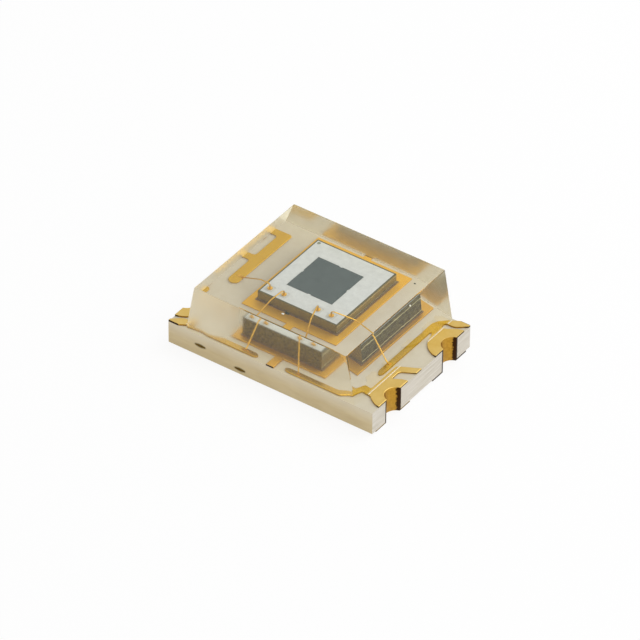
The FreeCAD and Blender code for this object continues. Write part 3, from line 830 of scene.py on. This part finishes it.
@dataclass
class Plating:
    """The four terminals and the die pad, with the soft edges that plating leaves.

    To the eye, the fingers mirror the chip a little, and the pad is duller, from the adhesive that crept
    over it.
    """

    gold: ElectroplatedGold = field(default_factory=ElectroplatedGold)
    pad_gold: ElectroplatedGold = ElectroplatedGold(
        name="gold_electroplated_matte", sealed_pale="#DAB03E", sealed_deep="#CA9A28", sealed_shift=0.2,
    )
    edge_mm: float = 0.009
    etched_corner_mm: float = 0.05
    etched_x_mm: tuple[float, float] = (1.05, 1.8)
    sharp_turn: float = math.radians(35)

    def build(self) -> None:
        """Builds each plated piece in place of its CAD node."""
        satin = self.gold.material()
        plated = [(f"terminal_{number}", satin) for number in NUMBERS]
        plated.append(("die_pad", self.pad_gold.material()))
        for node, gold in plated:
            piece = new_piece(f"plated_{node}", self.softened(node), [gold])
            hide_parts(node)

    def softened(self, node: str) -> bmesh.types.BMesh:
        """The node's form with its sharp edges rounded.

        Args:
            node: the CAD node's name.

        Returns:
            The mesh, in millimetres.
        """
        form = node_mesh(node)
        corners = [
            edge for edge in self.sharp_edges(form)
            if abs(edge.verts[0].co.z - edge.verts[1].co.z) > SQUARE * edge.calc_length()
            and all(self.etched_x_mm[0] < abs(vert.co.x) < self.etched_x_mm[1] for vert in edge.verts)
        ]
        for corner in corners:
            round_off(form, [corner], self.etched_corner_mm, segments=4)
        form.normal_update()
        round_off(form, self.sharp_edges(form), self.edge_mm)
        return form

    def sharp_edges(self, form: bmesh.types.BMesh) -> list[bmesh.types.BMEdge]:
        """Edges at which the surface turns sharply."""
        return [
            edge for edge in form.edges
            if len(edge.link_faces) == 2 and edge.calc_face_angle(0.0) > self.sharp_turn
        ]


@dataclass
class Chip:
    """Silicon chip with its films, its pads and the adhesive under it."""

    silicon: DicedSilicon = field(default_factory=DicedSilicon)

    def build(self) -> None:
        """Dresses the chip's pieces."""
        silicon = self.silicon.material(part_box("silicon_die"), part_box("light_shield"))
        dress("silicon_die", silicon)
        dress("die_attach", DIE_ATTACH.material())
        dress("photodiode", PHOTODIODE.material())
        dress("light_shield", LIGHT_SHIELD.material())
        pads = BOND_PADS.material()
        for number in NUMBERS:
            dress(f"bond_pad_{number}", pads)


@dataclass
class Wiring:
    """The four gold bond wires."""

    def build(self) -> None:
        """Dresses the wires."""
        gold = GOLD_WIRE.material()
        for number in NUMBERS:
            dress(f"bond_wire_{number}", gold)


class Skin(Enum):
    """Faces of the clear block, numbered as its materials are."""

    TOP = 0
    NEAR_END = 1
    FAR_END = 2
    NEAR_SIDE = 3
    FAR_SIDE = 4

    @classmethod
    def behind(cls, normal: Vector) -> "Skin":
        """Tells which face of the block a normal belongs to.

        Args:
            normal: the direction that the face looks in.

        Returns:
            The block's face, or its top for what lies between.
        """
        if abs(normal.x) > SQUARE:
            return cls.NEAR_END if normal.x > 0 else cls.FAR_END
        if abs(normal.y) > SQUARE:
            return cls.FAR_SIDE if normal.y > 0 else cls.NEAR_SIDE
        return cls.TOP


@dataclass
class ClearBlock:
    """The clear block, as the outer skin of its solid, with its foot let into the board.

    Its sides stand back a little, so that they don't share a plane with the board's.
    """

    end_draft_mm: float = 0.158
    mould_radius_mm: float = 0.02
    saw_edge_mm: float = 0.012
    sharp_turn: float = 1.0
    foot_depth_mm: float = 0.02
    side_clearance_mm: float = 0.0005
    rim_reach_mm: float = 0.045
    rim_mm: float = 0.016
    rim_height_mm: float = 0.008
    rim_edge_mm: float = 0.016 / 3

    def build(self) -> None:
        """Builds the block in place of its CAD node, and the rims of the thin resin round it."""
        low, high = (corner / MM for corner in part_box("clear_mould"))
        form = self.drafted(low, high)
        self.round_edges(form, high.z)
        self.sink_foot(form, low.z)
        for face in form.faces:
            face.material_index = Skin.behind(face.normal).value
        finishes = (POLISHED_TOP, DRAWN_END, FROSTED_END, SAWN_SIDE, FROSTED_SIDE)
        piece = new_piece("clear_block", form, [finish.material() for finish in finishes])
        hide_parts("clear_mould")
        # The rims' milky colour is partly a painted highlight.
        resin = THIN_RESIN.material()
        for number in NUMBERS:
            new_piece(f"resin_rim_{number}", self.rim(f"terminal_{number}", high.x), [resin])

    def drafted(self, low: Vector, high: Vector) -> bmesh.types.BMesh:
        """The block with its slanted ends, its edges still sharp.

        Args:
            low: the low corner of its box, in millimetres.
            high: the high corner.

        Returns:
            The mesh, in millimetres.
        """
        form = bmesh.new()
        side = high.y - self.side_clearance_mm
        front, back = (
            [
                form.verts.new(point) for point in (
                    (low.x, y, low.z), (high.x, y, low.z),
                    (high.x - self.end_draft_mm, y, high.z), (low.x + self.end_draft_mm, y, high.z),
                )
            ]
            for y in (-side, side)
        )
        form.faces.new(front)
        form.faces.new(reversed(back))
        for at in range(len(front)):
            form.faces.new((front[at - 1], back[at - 1], back[at], front[at]))
        bmesh.ops.recalc_face_normals(form, faces=form.faces)
        return form

    def round_edges(self, form: bmesh.types.BMesh, top: float) -> None:
        """Rounds the mould's two top edges, and breaks the edges that the saw left.

        Args:
            form: the block.
            top: the height of its top.
        """
        moulded = [
            edge for edge in form.edges
            if all(abs(vert.co.z - top) < SAME_MM for vert in edge.verts)
            and abs(edge.verts[0].co.x - edge.verts[1].co.x) < SAME_MM
        ]
        round_off(form, moulded, self.mould_radius_mm, segments=6)
        form.normal_update()
        sawn = [
            edge for edge in form.edges
            if any(abs(face.normal.y) > SQUARE for face in edge.link_faces)
            and any(vert.co.z > top - self.mould_radius_mm for vert in edge.verts)
            and edge.calc_face_angle(0.0) > self.sharp_turn
        ]
        round_off(form, sawn, self.saw_edge_mm)
        form.normal_update()

    def rim(self, node: str, foot: float) -> bmesh.types.BMesh:
        """The raised edge of the thin resin that crept out over a terminal's copper.

        Args:
            node: the terminal.
            foot: how far out the block's foot lies along X.

        Returns:
            The rim, in millimetres, low and with its upper edges rounded.
        """
        form = node_mesh(node)
        end = math.copysign(1.0, sum(vert.co.x for vert in form.verts))
        out = foot + self.rim_reach_mm
        for reach, outer in ((out, True), (out - self.rim_mm, False)):
            bmesh.ops.bisect_plane(
                form, geom=form.verts[:] + form.edges[:] + form.faces[:], plane_co=(end * reach, 0, 0),
                plane_no=(end, 0, 0), clear_outer=outer, clear_inner=not outer,
            )
        top = max(vert.co.z for vert in form.verts)
        under = [face for face in form.faces if face.calc_center_median().z < top - SAME_MM]
        bmesh.ops.delete(form, geom=under, context="FACES")
        raised = bmesh.ops.extrude_face_region(form, geom=form.faces[:])
        lifted = [item for item in raised["geom"] if isinstance(item, bmesh.types.BMVert)]
        bmesh.ops.translate(form, verts=lifted, vec=(0, 0, self.rim_height_mm))
        brim = [edge for edge in form.edges if all(vert in lifted for vert in edge.verts)]
        round_off(form, brim, self.rim_edge_mm)
        return form

    def sink_foot(self, form: bmesh.types.BMesh, foot: float) -> None:
        """Lets the block's underside into the board, so that no face lies in the board's top.

        Args:
            form: the block.
            foot: the height of its underside.
        """
        under = [face for face in form.faces if face.normal.z < -SQUARE]
        bmesh.ops.inset_region(form, faces=under, thickness=self.foot_depth_mm)
        for vert in {vert for face in under for vert in face.verts}:
            vert.co.z = foot - self.foot_depth_mm
        form.normal_update()


@dataclass
class Specks:
    """Stray flecks caught in the block, each given by its place and radius. The bright ones are white
    beads that are painted glints.
    """

    bright_mm: tuple[tuple[float, float, float, float], ...] = (
        (0.031, -1.003, 1.25, 0.026), (1.397, 0.362, 1.2, 0.026),
    )
    dark_mm: tuple[tuple[float, float, float, float], ...] = (
        (0.078, -0.957, 1.25, 0.045), (1.218, 0.771, 1.25, 0.02),
    )
    flatness: float = 0.6

    def build(self) -> None:
        """Builds every fleck as a flattened bead."""
        # The bright beads are painted glints, and the dark ones are greenish black dots.
        for kind, finish, places in (
            ("bright", PAINTED_GLINT_BEAD, self.bright_mm), ("dark", DARK_FLECK, self.dark_mm),
        ):
            material = finish.material()
            for number, (*middle, radius) in enumerate(places, start=1):
                form = bmesh.new()
                bmesh.ops.create_icosphere(form, subdivisions=2, radius=radius)
                bmesh.ops.scale(form, vec=(1, self.flatness, self.flatness), verts=form.verts)
                bmesh.ops.translate(form, verts=form.verts, vec=middle)
                fleck = new_piece(f"{kind}_fleck_{number}", form, [material])
                fleck.data.shade_smooth()


@dataclass(frozen=True)
class Lamp:
    """A square lamp that faces the object. Its level is how bright it alone makes a white surface there.

    It is wide, so that gold which mirrors it shows a broad sheen and not a glaring point.
    """

    name: str
    way: tuple[float, float, float]
    width_mm: float
    level: float
    distance_mm: float = 60.0

    def hang(self, target_mm: tuple[float, float, float]) -> None:
        """Hangs the lamp where it belongs, turned towards its target.

        Args:
            target_mm: the place that it lights.
        """
        light = bpy.data.lights.new(self.name, "AREA")
        light.shape = "SQUARE"
        light.size = self.width_mm * MM
        light.energy = self.level * (math.pi * self.distance_mm * MM) ** 2
        lamp = bpy.data.objects.new(self.name, light)
        aim = Vector(self.way).normalized()
        lamp.location = (Vector(target_mm) + aim * self.distance_mm) * MM
        lamp.rotation_euler = aim.to_track_quat("Z", "Y").to_euler()
        bpy.context.scene.collection.objects.link(lamp)


@dataclass
class Studio:
    """Camera, lamps, floor and the white surroundings.

    Sight and reflections meet plain white, while dull surfaces are lit at a lower level.
    """

    azimuth: float = math.radians(35.02)
    elevation: float = math.radians(38.28)
    roll: float = math.radians(0.61)
    distance_mm: float = 91.236
    target_mm: tuple[float, float, float] = (0.1014, -0.1283, 0.63)
    focal_px: float = 6000.0
    frame_px: int = 640
    sensor_mm: float = 36.0
    clip_mm: tuple[float, float] = (5.0, 2000.0)
    lamps: tuple[Lamp, ...] = (
        Lamp("key_lamp", (0.35, 0.55, 0.76), 52.0, 0.43),
        Lamp("end_lamp", (0.95, -0.15, 0.35), 44.0, 0.16),
    )
    surround_level: float = 0.62
    floor_mm: float = 60.0
    floor_cells: int = 4
    floor_gap_mm: float = 0.0005
    floor_share: float = 0.12

    def build(self) -> None:
        """Sets up the whole studio."""
        self.place_camera()
        self.light_surroundings()
        self.lay_floor()
        for lamp in self.lamps:
            lamp.hang(self.target_mm)
        bpy.context.scene.view_settings.view_transform = "Standard"

    def place_camera(self) -> None:
        """Places the camera at the photograph's angle."""
        back = Vector((
            math.sin(self.azimuth) * math.cos(self.elevation),
            -math.cos(self.azimuth) * math.cos(self.elevation),
            math.sin(self.elevation),
        ))
        right = Vector((0, 0, 1)).cross(back).normalized()
        up = back.cross(right)
        rolled_right = math.cos(self.roll) * right + math.sin(self.roll) * up
        rolled_up = math.cos(self.roll) * up - math.sin(self.roll) * right
        lens = bpy.data.cameras.new("camera")
        lens.sensor_width = self.sensor_mm
        lens.lens = self.focal_px / self.frame_px * self.sensor_mm
        lens.clip_start, lens.clip_end = (reach * MM for reach in self.clip_mm)
        camera = bpy.data.objects.new("camera", lens)
        place = (Vector(self.target_mm) + back * self.distance_mm) * MM
        turn = Matrix((rolled_right, rolled_up, back)).transposed()
        camera.matrix_world = Matrix.Translation(place) @ turn.to_4x4()
        bpy.context.scene.collection.objects.link(camera)
        bpy.context.scene.camera = camera

    def seen_white(self, tree: bpy.types.NodeTree) -> bpy.types.NodeSocket:
        """A socket that is 1 for sight, reflections and what shows through the block, and else 0.

        Args:
            tree: a material's or the world's nodes.

        Returns:
            The socket.
        """
        path = add(tree, "ShaderNodeLightPath")
        shiny = add(tree, "ShaderNodeMath", {
            0: path.outputs["Is Glossy Ray"], 1: path.outputs["Is Transmission Ray"],
        }, operation="MAXIMUM")
        seen = add(tree, "ShaderNodeMath", {
            0: path.outputs["Is Camera Ray"], 1: shiny.outputs[0],
        }, operation="MAXIMUM")
        return seen.outputs[0]

    def light_surroundings(self) -> None:
        """Makes white surroundings that light the object at a plain level."""
        world = bpy.data.worlds.new("surroundings")
        world.use_nodes = True
        tree = world.node_tree
        tree.nodes.clear()
        level = add(tree, "ShaderNodeMapRange", {0: self.seen_white(tree), 3: self.surround_level, 4: 1.0})
        white = add(tree, "ShaderNodeBackground", {"Color": linear(WHITE), "Strength": level.outputs[0]})
        add(tree, "ShaderNodeOutputWorld", {"Surface": white.outputs[0]})
        bpy.context.scene.world = world

    def lay_floor(self) -> None:
        """Lays a floor of white paper, whose plain glow lets a faint share of the shadow through."""
        material = empty_material("paper_white")
        tree = material.node_tree
        paper = add(tree, "ShaderNodeBsdfDiffuse", {"Color": linear(WHITE)})
        glow = add(tree, "ShaderNodeEmission", {"Color": linear(WHITE), "Strength": 1.0})
        share = add(tree, "ShaderNodeMath", {
            0: self.seen_white(tree), 1: 1 - self.floor_share,
        }, operation="MULTIPLY")
        surface = add(tree, "ShaderNodeMixShader", {
            0: share.outputs[0], 1: paper.outputs[0], 2: glow.outputs[0],
        })
        add(tree, "ShaderNodeOutputMaterial", {"Surface": surface.outputs[0]})
        form = bmesh.new()
        cells = self.floor_cells
        bmesh.ops.create_grid(form, x_segments=cells, y_segments=cells, size=self.floor_mm * MM)
        bmesh.ops.translate(form, verts=form.verts, vec=(0, 0, -self.floor_gap_mm * MM))
        mesh = bpy.data.meshes.new("floor")
        form.to_mesh(mesh)
        form.free()
        mesh.materials.append(material)
        floor = bpy.data.objects.new("floor", mesh)
        bpy.context.scene.collection.objects.link(floor)


def main() -> None:
    """Builds the studio and the sensor, one sub-assembly after another, and logs each step."""
    logging.basicConfig(level=logging.INFO, format="%(message)s")
    for part in (Studio(), Board(), Plating(), Chip(), Wiring(), ClearBlock(), Specks()):
        part.build()
        logger.info("finished %s", type(part).__name__)


if __name__ == "__main__":
    main()
